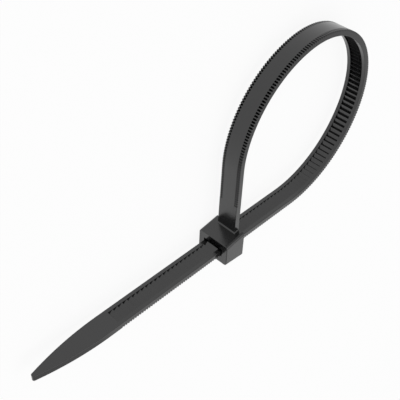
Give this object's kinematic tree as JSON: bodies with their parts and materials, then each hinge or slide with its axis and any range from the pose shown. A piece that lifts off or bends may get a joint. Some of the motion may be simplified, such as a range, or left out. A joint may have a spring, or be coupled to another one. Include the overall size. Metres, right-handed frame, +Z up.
{
  "type": "cable tie",
  "caption": "Self-locking moulded cable tie closed into a loop, with a toothed strap, notched edges, a boxed locking head and a tapered tail.",
  "frame": {"origin": "on the resting side of the head, under the crossing of the strap's run through the head and the root's centre line", "axes": "+Z up, across the strap's width; +X along the strap's run through the head, from the tail to the loop; +Y from the head along the root"},
  "size_m": [0.0923, 0.0445, 0.008],
  "materials": {
    "black_nylon": "moulded, satin black"
  },
  "bodies": {
    "root": {"cable_tie": "black_nylon"}
  },
  "joints": []
}
